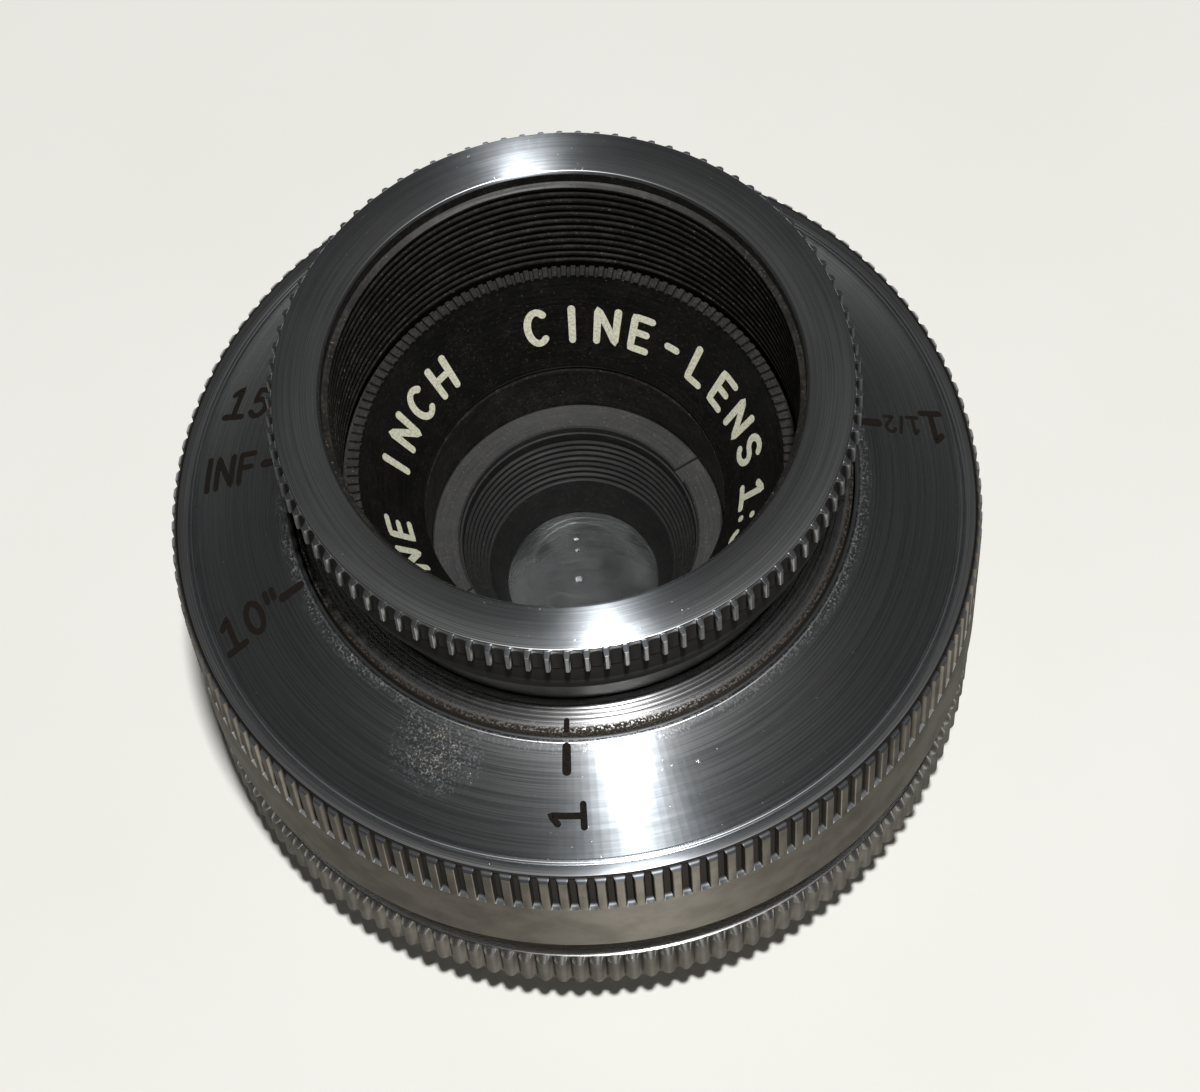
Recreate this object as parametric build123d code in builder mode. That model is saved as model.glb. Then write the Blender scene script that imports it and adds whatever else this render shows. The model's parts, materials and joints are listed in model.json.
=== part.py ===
"""Small all-metal cine prime lens on a threaded rear mount, built as separate pieces.

Axis of the lens is Z, front of the lens is +Z, millimetres.
Heights are drawn from the seating face of the rear flange, as a lens maker measures them.
Finished pieces are lifted by the length of the mount thread, so the lens stands on Z = 0.
The lens is drawn focused at one foot with the iris fully open.
"""

import os
from math import atan2, cos, degrees, hypot, radians, sin

from build123d import *

# ---------------------------------------------------------------- driving sizes

SEATED = 0.02            # gap left between pieces that are screwed or pressed together
RUNNING = 0.06           # radial gap between pieces that turn or slide on each other

# standard rear thread, 1 inch by 32 turns per inch
MOUNT_MAJOR = 12.7
MOUNT_MINOR = 12.21
MOUNT_PITCH = 25.4 / 32
MOUNT_THREAD_LENGTH = 3.8

FLANGE_RADIUS = 18.95
FLANGE_HEIGHT = 3.07
FLANGE_TEETH = 138

FOCUS_RADIUS = 19.05
FOCUS_TEETH = 138
FOCUS_BOTTOM = 5.68
FOCUS_KNURL_BOTTOM = 10.47
FOCUS_RIM_TOP = 14.0
FOCUS_RIM_INNER = 18.08
FOCUS_HOLE = 13.06
FOCUS_HOLE_TOP = 16.62
CONE_TOP_RADIUS = 13.4
CONE_TOP = 16.75
HELIX_RADIUS = 16.3

# turn of the focus ring from infinity for each distance mark, in degrees
MARK_ANGLES = (0, 13, 23, 39, 60, 81, 125, 164, 266, 332)
ANGLE_AT_ONE_FOOT = 266

GUIDE_RADIUS = 12.0
GUIDE_TOP = 8.8
SHOULDER_TOP = 17.0
WEB_TOP = 16.8

HOOD_FACE = 25.88
HOOD_FACE_RADIUS = 12.9
HOOD_RADIUS = 13.25
HOOD_BORE = 10.8
HOOD_TEETH = 96
HOOD_BOTTOM = 20.3
SLEEVE_RADIUS = 11.3
LIP_TOP = 17.2

NAME_RING_TOP = 18.26
NAME_RING_FACE_OUTER = 9.74
NAME_RING_FACE_INNER = 7.05
NAME_RING_FACE_BOTTOM = 14.45
NAME_RING_RIBS = 144

CELL_BORE = 7.0
CLEAR_APERTURE = 3.67
FRONT_RING_TOP = 10.6

# iris
BLADES = 6
BLADE_THICKNESS = 0.1
BLADE_SPACING = 0.14
BLADE_BOTTOM = 1.86
BLADE_INNER = 3.3
BLADE_OUTER = 6.2
BLADE_TURN = 24
RING_TURN = 48
PIVOT_RADIUS = 6.7
LEVER = 1.5
LEVER_ANGLE = 40
PIN_RADIUS = 0.22
IRIS_PLATE_BOTTOM = 1.42
IRIS_PLATE_TOP = 1.8
CAM_BOTTOM = 2.75
CAM_TOP = 3.15

DRIVE_SCREW_CIRCLE = 10.45
DRIVE_SCREWS = 2
PLATE_SCREW_CIRCLE = 9.2
PLATE_SCREWS = 3
INDEX_ANGLE = -90


def vee_grooves(crest, root, bottom, top, pitch):
    """Points of a row of equal vee grooves between narrow flat crests, from the bottom up."""
    points = []
    turns = int((top - bottom) / pitch)
    for turn in range(turns):
        z = bottom + turn * pitch
        points.append((crest, z))
        points.append((crest, z + pitch / 4))
        points.append((root, z + pitch * 5 / 8))
    points.append((crest, bottom + turns * pitch))
    points.append((crest, bottom + (turns + 1 / 4) * pitch))
    return points


def drive_pin_position(blade_turn):
    """Radius and angle of a blade's drive pin for a given turn of the blade."""
    swing = radians(LEVER_ANGLE + blade_turn)
    x = PIVOT_RADIUS + LEVER * cos(swing)
    y = LEVER * sin(swing)
    return hypot(x, y), degrees(atan2(y, x))


def polar(radius, angle):
    """Point in the plane at a radius and an angle in degrees."""
    return (radius * cos(radians(angle)), radius * sin(radians(angle)))


# ---------------------------------------------------------------- mount (fixed)

# rear flange with the mount thread below and the guide tube above
with BuildPart() as mount_body:
    with BuildSketch(Plane.XZ):
        with BuildLine():
            Polyline(
                (11.05, -MOUNT_THREAD_LENGTH),
                (MOUNT_MINOR, -MOUNT_THREAD_LENGTH),
                *vee_grooves(MOUNT_MAJOR, MOUNT_MINOR, -3.72, -0.5, MOUNT_PITCH),
                (12.1, -0.3),
                (12.1, 0.3),
                (12.9, 0.3),
                (12.9, 0),
                (18.6, 0),
                (18.6, FLANGE_HEIGHT),
                (14.4, FLANGE_HEIGHT),
                (14.4, GUIDE_TOP),
                (GUIDE_RADIUS + RUNNING, GUIDE_TOP),
                (GUIDE_RADIUS + RUNNING, 0.6),
                (11.05, 0.6),
                close=True,
            )
        make_face()
    revolve(axis=Axis.Z)
    # rope-like knurl: a row of round teeth
    with BuildSketch():
        Circle(18.5)
        with PolarLocations(FLANGE_RADIUS - 0.42, FLANGE_TEETH):
            Circle(0.42)
        Circle(18.0, mode=Mode.SUBTRACT)
    extrude(amount=FLANGE_HEIGHT)
    # rounded ends of the teeth, top and bottom
    with BuildSketch(Plane.XZ):
        with BuildLine():
            Polyline((18.55, 3.1), (19.2, 3.1), (19.2, 2.5), close=True)
        make_face()
        with BuildLine():
            Polyline((18.6, -0.05), (19.2, -0.05), (19.2, 0.5), close=True)
        make_face()
    revolve(axis=Axis.Z, mode=Mode.SUBTRACT)
    # window for the guide key
    with BuildSketch(Plane.XY.offset(5.45)):
        with Locations((0, 13.2)):
            Rectangle(2.04, 3.2)
    extrude(amount=GUIDE_TOP - 5.45, mode=Mode.SUBTRACT)


# brass sleeve carrying the male focusing helix, screwed over the guide tube
with BuildPart() as helix_sleeve:
    with BuildSketch(Plane.XZ):
        with BuildLine():
            Polyline(
                (14.4 + SEATED, FLANGE_HEIGHT + SEATED),
                (HELIX_RADIUS - 0.3, FLANGE_HEIGHT + SEATED),
                *vee_grooves(HELIX_RADIUS, HELIX_RADIUS - 0.3, 3.4, 8.3, MOUNT_PITCH),
                (HELIX_RADIUS - 0.3, 8.5),
                (HELIX_RADIUS - 0.3, 8.75),
                (14.4 + SEATED, 8.75),
                close=True,
            )
        make_face()
    revolve(axis=Axis.Z)

# key that lets the barrel slide but not turn
with BuildPart() as guide_key:
    with BuildSketch(Plane.XY.offset(5.5)):
        with Locations((0, 12.92)):
            Rectangle(2.0, 2.7)
    extrude(amount=3.0)
    chamfer(guide_key.edges().filter_by(Axis.Z), length=0.15)

# ---------------------------------------------------------------- barrel (slides)

# main tube: guide tube, flange, journal and the shoulder around the aperture ring's sleeve
with BuildPart() as barrel:
    with BuildSketch(Plane.XZ):
        with BuildLine():
            Polyline(
                (9.6, -0.95),
                (10.95, -0.95),
                (10.95, 3.2),
                (GUIDE_RADIUS, 3.2),
                (GUIDE_RADIUS, 12.55),
                (14.6, 12.55),
                (14.6, 13.35),
                (12.98, 13.35),
                (12.98, SHOULDER_TOP - 0.1),
                (12.88, SHOULDER_TOP),
                (SLEEVE_RADIUS + RUNNING, SHOULDER_TOP),
                (SLEEVE_RADIUS + RUNNING, WEB_TOP),
                (9.35, WEB_TOP),
                (9.35, 14.4),
                (8.05, 14.4),
                (8.05, 13.0),
                (11.1, 13.0),
                (11.1, 3.4),
                (10.2, 3.4),
                (10.2, 1.4),
                (5.5, 1.4),
                (5.5, 0.5),
                (9.6, 0.5),
                close=True,
            )
        make_face()
    revolve(axis=Axis.Z)
    # keyway for the guide key
    with BuildSketch(Plane.XY.offset(4.7)):
        with Locations((0, 12.5)):
            Rectangle(2.12, 2.0)
    extrude(amount=6.4, mode=Mode.SUBTRACT)
    # arc slots for the screws that turn the iris
    with BuildSketch(Plane.XY.offset(12.9)):
        for side in range(DRIVE_SCREWS):
            start = side * 360 / DRIVE_SCREWS - 1
            with BuildLine(mode=Mode.PRIVATE) as slot_path:
                CenterArc((0, 0), DRIVE_SCREW_CIRCLE, start, RING_TURN + 2)
            SlotArc(slot_path.edge(), height=1.14)
    extrude(amount=4.2, mode=Mode.SUBTRACT)
    # tapped holes for the iris plate screws
    with BuildSketch(Plane.XY.offset(0.4)):
        with PolarLocations(PLATE_SCREW_CIRCLE, PLATE_SCREWS, start_angle=30):
            Circle(0.42)
    extrude(amount=1.2, mode=Mode.SUBTRACT)
    # seat of the focus stop pin
    with BuildSketch(Plane.XY.offset(12.9)):
        with Locations(polar(13.85, INDEX_ANGLE)):
            Circle(0.5 + SEATED)
    extrude(amount=0.6, mode=Mode.SUBTRACT)
    # engraved index line at the edge of the shoulder
    with BuildSketch(Plane.XY.offset(SHOULDER_TOP - 0.12)):
        with Locations(polar(12.85, INDEX_ANGLE)):
            Rectangle(0.22, 0.8)
    extrude(amount=0.2, mode=Mode.SUBTRACT)

# pin that ends the travel of the focus ring
with BuildPart() as focus_stop_pin:
    with BuildSketch(Plane.XY.offset(12.9 + SEATED)):
        with Locations(polar(13.85, INDEX_ANGLE)):
            Circle(0.5)
    extrude(amount=1.1)

# inner cell that holds the front and middle elements
with BuildPart() as optics_cell:
    with BuildSketch(Plane.XZ):
        with BuildLine():
            Polyline(
                (3.35, CAM_BOTTOM),
                (6.8, CAM_BOTTOM),
                (6.8, 9.0),
                (8.0, 9.0),
                (8.0, 14.4 + SEATED),
                (9.3, 14.4 + SEATED),
                (9.3, 14.9),
                (7.6, 14.9),
                (7.6, 14.1),
                (7.25, 14.1),
                (CELL_BORE, 13.85),
                (CELL_BORE, 9.6),
                (6.2, 9.6),
                (6.2, 5.5),
                (4.35, 5.5),
                (4.35, 4.1),
                (3.95, 4.1),
                (3.95, 3.05),
                (3.35, 3.05),
                close=True,
            )
        make_face()
    revolve(axis=Axis.Z)

# blackened baffle with turned steps in front of the glass
BAFFLE_STEPS = 8
STEP_TOP = (5.55, 9.75)
STEP_BOTTOM = (4.45, 7.3)
step_points = []
for step in range(BAFFLE_STEPS):
    share = step / BAFFLE_STEPS
    next_share = (step + 1) / BAFFLE_STEPS
    step_radius = STEP_TOP[0] + share * (STEP_BOTTOM[0] - STEP_TOP[0])
    next_radius = STEP_TOP[0] + next_share * (STEP_BOTTOM[0] - STEP_TOP[0])
    next_height = STEP_TOP[1] + next_share * (STEP_BOTTOM[1] - STEP_TOP[1])
    step_points.append((step_radius, next_height + 0.05))
    step_points.append((next_radius, next_height))
with BuildPart() as front_baffle:
    with BuildSketch(Plane.XZ):
        with BuildLine():
            Polyline(
                (6.9, FRONT_RING_TOP - 0.5 - SEATED),
                (5.6, FRONT_RING_TOP - 0.5 - SEATED),
                (STEP_TOP[0], STEP_TOP[1]),
                *step_points,
                (CLEAR_APERTURE, 5.6),
                (CLEAR_APERTURE, 5.46),
                (3.85, 5.38),
                (4.28, 5.38),
                (4.28, 5.53),
                (6.1, 5.53),
                (6.15, 5.7),
                (6.15, 9.6 + SEATED),
                (6.9, 9.6 + SEATED),
                close=True,
            )
        make_face()
    revolve(axis=Axis.Z)

# grey ring with two spanner slots that locks the baffle and front element
with BuildPart() as front_retaining_ring:
    with BuildSketch(Plane.XY.offset(FRONT_RING_TOP - 0.5)):
        Circle(CELL_BORE - SEATED)
        Circle(5.7, mode=Mode.SUBTRACT)
    extrude(amount=0.5)
    chamfer(front_retaining_ring.edges().group_by(Axis.Z)[-1], length=0.08)
    with BuildSketch(Plane.XY.offset(FRONT_RING_TOP - 0.3)):
        with PolarLocations(6.4, 2, start_angle=33):
            Rectangle(2.0, 0.75)
    extrude(amount=0.4, mode=Mode.SUBTRACT)

# front element, convex to the front
with BuildPart() as front_element:
    with BuildSketch(Plane.XZ):
        with BuildLine():
            Polyline((0, 6.25), (0, 4.42), (4.3, 4.42), (4.3, 5.36), (3.8, 5.36))
            TangentArc((0, 6.25), (3.8, 5.36), tangent=(1, 0))
        make_face()
    revolve(axis=Axis.Z)

# spacer between the front and middle elements
with BuildPart() as element_spacer:
    with BuildSketch(Plane.XY.offset(4.12)):
        Circle(4.28)
        Circle(3.6, mode=Mode.SUBTRACT)
    extrude(amount=0.28)

# middle element, hollow on both sides
with BuildPart() as middle_element:
    with BuildSketch(Plane.XZ):
        with BuildLine():
            Line((0, 3.32), (0, 3.7))
            TangentArc((0, 3.7), (3.2, 4.1), tangent=(1, 0))
            Polyline((3.2, 4.1), (3.9, 4.1), (3.9, 3.07), (3.2, 3.07))
            TangentArc((0, 3.32), (3.2, 3.07), tangent=(1, 0))
        make_face()
    revolve(axis=Axis.Z)

# black name ring: sloping face inside the hood, ribbed rim, thread below
with BuildPart() as name_ring:
    with BuildSketch(Plane.XZ):
        with BuildLine():
            Polyline(
                (NAME_RING_FACE_INNER, NAME_RING_FACE_BOTTOM),
                (NAME_RING_FACE_OUTER, NAME_RING_TOP - 0.2),
                (NAME_RING_FACE_OUTER + 0.06, NAME_RING_TOP),
                (10.35, NAME_RING_TOP),
                (10.35, LIP_TOP + 0.04),
                (9.5, LIP_TOP + 0.04),
                (9.5, WEB_TOP + SEATED),
                (9.3, WEB_TOP + SEATED),
                (9.3, 14.9 + SEATED),
                (7.56, 14.9 + SEATED),
                (7.56, 14.2),
                (NAME_RING_FACE_INNER, 14.2),
                close=True,
            )
        make_face()
    revolve(axis=Axis.Z)
    # fine radial ribs around the rim
    with BuildSketch(Plane.XY.offset(NAME_RING_TOP - 0.2)):
        with PolarLocations(10.2, NAME_RING_RIBS):
            Rectangle(0.8, 0.2)
    extrude(amount=0.4, mode=Mode.SUBTRACT)

# fixed plate with the pivot holes of the blades
with BuildPart() as iris_base_plate:
    with BuildSketch(Plane.XY.offset(IRIS_PLATE_BOTTOM)):
        Circle(10.15)
        Circle(BLADE_INNER - 0.05, mode=Mode.SUBTRACT)
        with PolarLocations(PIVOT_RADIUS, BLADES):
            Circle(PIN_RADIUS + RUNNING, mode=Mode.SUBTRACT)
        with PolarLocations(PLATE_SCREW_CIRCLE, PLATE_SCREWS, start_angle=30):
            Circle(0.42, mode=Mode.SUBTRACT)
    extrude(amount=IRIS_PLATE_TOP - IRIS_PLATE_BOTTOM)

# screws holding the iris plate
with BuildPart() as iris_plate_screws:
    with BuildSketch(Plane.XY.offset(0.6)):
        with PolarLocations(PLATE_SCREW_CIRCLE, PLATE_SCREWS, start_angle=30):
            Circle(0.4)
    extrude(amount=1.3)
    with BuildSketch(Plane.XY.offset(IRIS_PLATE_TOP + SEATED)):
        with PolarLocations(PLATE_SCREW_CIRCLE, PLATE_SCREWS, start_angle=30):
            Circle(0.7)
    extrude(amount=0.4)
    with BuildSketch(Plane.XY.offset(IRIS_PLATE_TOP + 0.25)):
        with PolarLocations(PLATE_SCREW_CIRCLE, PLATE_SCREWS, start_angle=30):
            Rectangle(0.18, 1.6)
    extrude(amount=0.3, mode=Mode.SUBTRACT)

# rear cell, screwed into the barrel from behind
with BuildPart() as rear_cell:
    with BuildSketch(Plane.XZ):
        with BuildLine():
            Polyline(
                (4.3, -0.9),
                (5.0, -0.9),
                (5.0, 0.0),
                (7.0, 0.0),
                (7.0, 0.5 - SEATED),
                (5.5 - SEATED, 0.5 - SEATED),
                (5.5 - SEATED, 1.36),
                (3.3, 1.36),
                (3.3, 1.18),
                (4.0, 1.18),
                (4.0, -0.47),
                (4.3, -0.47),
                close=True,
            )
        make_face()
    revolve(axis=Axis.Z)
    with BuildSketch(Plane.XY.offset(-0.05)):
        with PolarLocations(6.2, 2):
            Circle(0.35)
    extrude(amount=0.4, mode=Mode.SUBTRACT)

# cemented rear pair: crown half
with BuildPart() as rear_crown_element:
    with BuildSketch(Plane.XZ):
        with BuildLine():
            Line((0, 0.02), (0, 1.43))
            TangentArc((0, 1.43), (3.3, 1.16), tangent=(1, 0))
            Polyline((3.3, 1.16), (3.95, 1.16), (3.95, 0.57))
            TangentArc((0, 0.02), (3.95, 0.57), tangent=(1, 0))
        make_face()
    revolve(axis=Axis.Z)

# cemented rear pair: flint half
with BuildPart() as rear_flint_element:
    with BuildSketch(Plane.XZ):
        with BuildLine():
            Polyline((0, 0), (0, -0.45), (3.95, -0.45), (3.95, 0.55))
            TangentArc((0, 0), (3.95, 0.55), tangent=(1, 0))
        make_face()
    revolve(axis=Axis.Z)

# ring that locks the rear pair
with BuildPart() as rear_retaining_ring:
    with BuildSketch(Plane.XY.offset(-0.9)):
        Circle(4.3 - SEATED)
        Circle(3.4, mode=Mode.SUBTRACT)
    extrude(amount=0.43)
    with BuildSketch(Plane.XY.offset(-0.95)):
        with PolarLocations(4.1, 2):
            Rectangle(0.6, 0.5)
    extrude(amount=0.25, mode=Mode.SUBTRACT)

# ---------------------------------------------------------------- focus ring (turns)

# shallow layer under the scale cone, cut into the ten distance marks
with BuildPart() as scale_marks:
    with BuildSketch(Plane.XZ):
        with BuildLine():
            Polyline((12.9, 16.86), (12.9, 17.3), (15.6, 15.7), (15.6, 15.27), close=True)
        make_face()
    revolve(axis=Axis.Z)
    with BuildSketch(Plane.XY.offset(15.0)):
        for mark in MARK_ANGLES:
            with Locations(Rotation(0, 0, INDEX_ANGLE + ANGLE_AT_ONE_FOOT - mark)):
                with Locations((13.75, 0)):
                    SlotOverall(2.0, 0.42)
    extrude(amount=3.0, mode=Mode.INTERSECT)

# outer ring with the distance scale on its cone, knurl and smooth skirt
with BuildPart() as focus_ring:
    with BuildSketch(Plane.XZ):
        with BuildLine():
            Polyline(
                (HELIX_RADIUS + RUNNING, FOCUS_BOTTOM),
                (FOCUS_RADIUS - 0.15, FOCUS_BOTTOM),
                (FOCUS_RADIUS, FOCUS_BOTTOM + 0.15),
                (FOCUS_RADIUS, FOCUS_RIM_TOP - 0.26),
                (FOCUS_RADIUS - 0.25, FOCUS_RIM_TOP),
                (FOCUS_RIM_INNER + 0.12, FOCUS_RIM_TOP),
                (FOCUS_RIM_INNER, FOCUS_RIM_TOP + 0.02),
                (FOCUS_RIM_INNER - 0.12, FOCUS_RIM_TOP + 0.07),
                (CONE_TOP_RADIUS, CONE_TOP),
                (FOCUS_HOLE, FOCUS_HOLE_TOP),
                (FOCUS_HOLE, 14.2),
                (14.45, 14.2),
                (14.45, 13.4),
                (16.0, 13.4),
                (16.0, 11.4),
                (HELIX_RADIUS + RUNNING, 11.4),
                close=True,
            )
        make_face()
    revolve(axis=Axis.Z)
    # flat-topped knurl with narrow valleys running out on the smooth skirt
    with BuildSketch(Plane.XY.offset(FOCUS_KNURL_BOTTOM)):
        with PolarLocations(FOCUS_RADIUS, FOCUS_TEETH):
            Trapezoid(0.6, 0.6, 71.6, rotation=90)
    extrude(amount=5.0, mode=Mode.SUBTRACT)
    # lug that meets the stop pin at both ends of the scale
    with BuildSketch(Plane.XY.offset(13.42)):
        with BuildLine():
            CenterArc((0, 0), 13.12, INDEX_ANGLE - 80 - 10.5, 21)
            CenterArc((0, 0), 14.5, INDEX_ANGLE - 80 - 10.5, 21)
            Line(polar(13.12, INDEX_ANGLE - 90.5), polar(14.5, INDEX_ANGLE - 90.5))
            Line(polar(13.12, INDEX_ANGLE - 69.5), polar(14.5, INDEX_ANGLE - 69.5))
        make_face()
    extrude(amount=0.9)
    add(scale_marks.part, mode=Mode.SUBTRACT)

# ring screwed in from below that keeps the focus ring on the barrel flange
with BuildPart() as focus_keeper_ring:
    with BuildSketch(Plane.XY.offset(11.4)):
        Circle(16.0 - SEATED)
        Circle(12.6, mode=Mode.SUBTRACT)
    extrude(amount=0.95)
    with BuildSketch(Plane.XY.offset(11.3)):
        with PolarLocations(14.3, 4):
            Circle(0.5)
    extrude(amount=0.6, mode=Mode.SUBTRACT)

# thin bronze washer between the keeper and the barrel flange
with BuildPart() as focus_thrust_washer:
    with BuildSketch(Plane.XY.offset(12.37)):
        Circle(15.6)
        Circle(12.2, mode=Mode.SUBTRACT)
    extrude(amount=0.15)

# ---------------------------------------------------------------- aperture ring (turns)

# knurled front ring: hood, filter thread and inner sleeve
with BuildPart() as aperture_ring:
    with BuildSketch(Plane.XZ):
        with BuildLine():
            Polyline(
                (9.6, 16.9),
                (SLEEVE_RADIUS, 16.9),
                (SLEEVE_RADIUS, HOOD_BOTTOM),
                (12.0, HOOD_BOTTOM),
                (12.42, HOOD_BOTTOM + 0.2),
                (12.7, HOOD_BOTTOM + 0.9),
                (12.9, HOOD_BOTTOM + 2.2),
                (12.98, HOOD_BOTTOM + 3.6),
                (12.98, HOOD_FACE - 0.25),
                (HOOD_FACE_RADIUS - 0.2, HOOD_FACE),
                (HOOD_BORE + 0.12, HOOD_FACE),
                (HOOD_BORE, HOOD_FACE - 0.12),
                (HOOD_BORE, 25.15),
                *reversed(vee_grooves(HOOD_BORE - 0.32, HOOD_BORE, 18.9, 25.0, 0.6)),
                (HOOD_BORE, 18.75),
                (HOOD_BORE, LIP_TOP),
                (9.6, LIP_TOP),
                close=True,
            )
        make_face()
    revolve(axis=Axis.Z)
    # knurl of the hood
    with BuildSketch(Plane.XY.offset(24.2)):
        Circle(12.9)
        with PolarLocations(HOOD_RADIUS - 0.4, HOOD_TEETH):
            Circle(0.4)
        Circle(12.4, mode=Mode.SUBTRACT)
    extrude(amount=HOOD_FACE - 24.2)
    # bevel of the front edge
    with BuildSketch(Plane.XZ):
        with BuildLine():
            Polyline((12.9, 25.9), (13.4, 25.9), (13.4, 25.4), close=True)
        make_face()
    revolve(axis=Axis.Z, mode=Mode.SUBTRACT)
    # tapped holes for the drive screws
    with BuildSketch(Plane.XY.offset(16.8)):
        with PolarLocations(DRIVE_SCREW_CIRCLE, DRIVE_SCREWS):
            Circle(0.45 + SEATED)
    extrude(amount=0.5, mode=Mode.SUBTRACT)

# long pins through the barrel web that carry the turn down to the iris
with BuildPart() as aperture_drive_pins:
    with BuildSketch(Plane.XY.offset(12.0)):
        with PolarLocations(DRIVE_SCREW_CIRCLE, DRIVE_SCREWS):
            Circle(0.45)
    extrude(amount=5.15)

# sleeve around the inner cell with the cam plate of the iris at its lower end
with BuildPart() as iris_drive_sleeve:
    with BuildSketch(Plane.XZ):
        with BuildLine():
            Polyline(
                (6.9, CAM_BOTTOM),
                (9.98, CAM_BOTTOM),
                (9.98, 11.9),
                (11.04, 11.9),
                (11.04, 12.85),
                (9.3, 12.85),
                (9.3, CAM_TOP),
                (6.9, CAM_TOP),
                close=True,
            )
        make_face()
    revolve(axis=Axis.Z)
    # cam slots: the blade turns half as far as the ring
    with BuildSketch(Plane.XY.offset(CAM_BOTTOM - 0.1)):
        for blade in range(BLADES):
            cam_points = []
            for share in (0, 0.5, 1):
                pin_radius, pin_angle = drive_pin_position(share * BLADE_TURN)
                cam_angle = pin_angle - share * RING_TURN + blade * 360 / BLADES
                cam_points.append(polar(pin_radius, cam_angle))
            with BuildLine(mode=Mode.PRIVATE) as cam_path:
                ThreePointArc(*cam_points)
            SlotArc(cam_path.edge(), height=0.62)
    extrude(amount=CAM_TOP - CAM_BOTTOM + 0.2, mode=Mode.SUBTRACT)
    with BuildSketch(Plane.XY.offset(11.95)):
        with PolarLocations(DRIVE_SCREW_CIRCLE, DRIVE_SCREWS):
            Circle(0.45 + SEATED)
    extrude(amount=1.0, mode=Mode.SUBTRACT)

# ---------------------------------------------------------------- iris blades (turn)

iris_blades = []
for blade in range(BLADES):
    height = BLADE_BOTTOM + blade * BLADE_SPACING
    drive_radius, drive_angle = drive_pin_position(0)
    with BuildPart() as iris_blade:
        with BuildSketch(Plane.XY.offset(height)):
            with BuildLine():
                CenterArc((0, 0), BLADE_INNER, -14, 164)
                CenterArc((0, 0), BLADE_OUTER, -14, 164)
                Line(polar(BLADE_INNER, -14), polar(BLADE_OUTER, -14))
                Line(polar(BLADE_INNER, 150), polar(BLADE_OUTER, 150))
            make_face()
            with Locations((PIVOT_RADIUS, 0)):
                Circle(0.5)
            with Locations(polar(drive_radius, drive_angle)):
                Circle(0.42)
            with Locations((PIVOT_RADIUS - 0.5, 0)):
                Rectangle(1.0, 1.0)
            with Locations(polar((PIVOT_RADIUS + drive_radius) / 2, drive_angle / 2)):
                Rectangle(1.5, 0.7, rotation=LEVER_ANGLE)
        extrude(amount=BLADE_THICKNESS)
        with BuildSketch(Plane.XY.offset(IRIS_PLATE_BOTTOM + 0.03)):
            with Locations((PIVOT_RADIUS, 0)):
                Circle(PIN_RADIUS)
        extrude(amount=height - IRIS_PLATE_BOTTOM)
        with BuildSketch(Plane.XY.offset(height)):
            with Locations(polar(drive_radius, drive_angle)):
                Circle(PIN_RADIUS)
        extrude(amount=CAM_TOP - 0.03 - height)
    iris_blades.append(iris_blade.part.rotate(Axis.Z, blade * 360 / BLADES))

# ---------------------------------------------------------------- export

pieces = {
    "mount_body": mount_body.part,
    "helix_sleeve": helix_sleeve.part,
    "guide_key": guide_key.part,
    "barrel": barrel.part,
    "focus_stop_pin": focus_stop_pin.part,
    "optics_cell": optics_cell.part,
    "front_baffle": front_baffle.part,
    "front_retaining_ring": front_retaining_ring.part,
    "front_element": front_element.part,
    "element_spacer": element_spacer.part,
    "middle_element": middle_element.part,
    "name_ring": name_ring.part,
    "iris_base_plate": iris_base_plate.part,
    "iris_plate_screws": iris_plate_screws.part,
    "rear_cell": rear_cell.part,
    "rear_crown_element": rear_crown_element.part,
    "rear_flint_element": rear_flint_element.part,
    "rear_retaining_ring": rear_retaining_ring.part,
    "focus_ring": focus_ring.part,
    "focus_keeper_ring": focus_keeper_ring.part,
    "focus_thrust_washer": focus_thrust_washer.part,
    "aperture_ring": aperture_ring.part,
    "aperture_drive_pins": aperture_drive_pins.part,
    "iris_drive_sleeve": iris_drive_sleeve.part,
}
for number, blade_part in enumerate(iris_blades, start=1):
    pieces[f"iris_blade_{number}"] = blade_part

os.makedirs("parts", exist_ok=True)
for label, piece in pieces.items():
    piece.move(Location((0, 0, MOUNT_THREAD_LENGTH)))
    piece.label = label
    export_step(piece, f"parts/{label}.step")
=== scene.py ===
"""Looks of a small all-metal cine prime lens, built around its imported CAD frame."""

import json
from math import cos, hypot, pi, radians, sin, sqrt

import bmesh
import bpy
from mathutils import Matrix, Vector


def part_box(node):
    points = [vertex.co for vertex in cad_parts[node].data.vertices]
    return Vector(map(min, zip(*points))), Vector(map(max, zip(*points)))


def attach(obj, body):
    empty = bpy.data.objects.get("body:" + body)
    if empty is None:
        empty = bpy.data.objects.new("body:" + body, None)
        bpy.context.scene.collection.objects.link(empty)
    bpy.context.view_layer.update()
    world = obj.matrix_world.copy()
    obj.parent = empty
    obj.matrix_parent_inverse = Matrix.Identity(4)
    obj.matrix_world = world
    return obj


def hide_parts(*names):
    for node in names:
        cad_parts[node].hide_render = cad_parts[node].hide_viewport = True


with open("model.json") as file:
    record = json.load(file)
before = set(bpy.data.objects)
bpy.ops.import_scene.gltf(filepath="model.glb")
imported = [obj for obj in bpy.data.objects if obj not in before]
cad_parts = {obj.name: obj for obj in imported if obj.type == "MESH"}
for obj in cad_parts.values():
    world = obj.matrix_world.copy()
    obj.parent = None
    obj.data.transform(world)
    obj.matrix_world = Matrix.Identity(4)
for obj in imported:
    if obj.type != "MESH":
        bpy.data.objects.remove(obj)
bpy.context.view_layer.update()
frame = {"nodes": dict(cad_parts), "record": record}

# ---------------------------------------------------------------- driving sizes

# lengths in millimetres, heights above the flange's seating face, angles in degrees
MM = 0.001
MOUNT_THREAD_LENGTH = 3.8
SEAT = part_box("mount_body")[0].z / MM + MOUNT_THREAD_LENGTH

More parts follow.
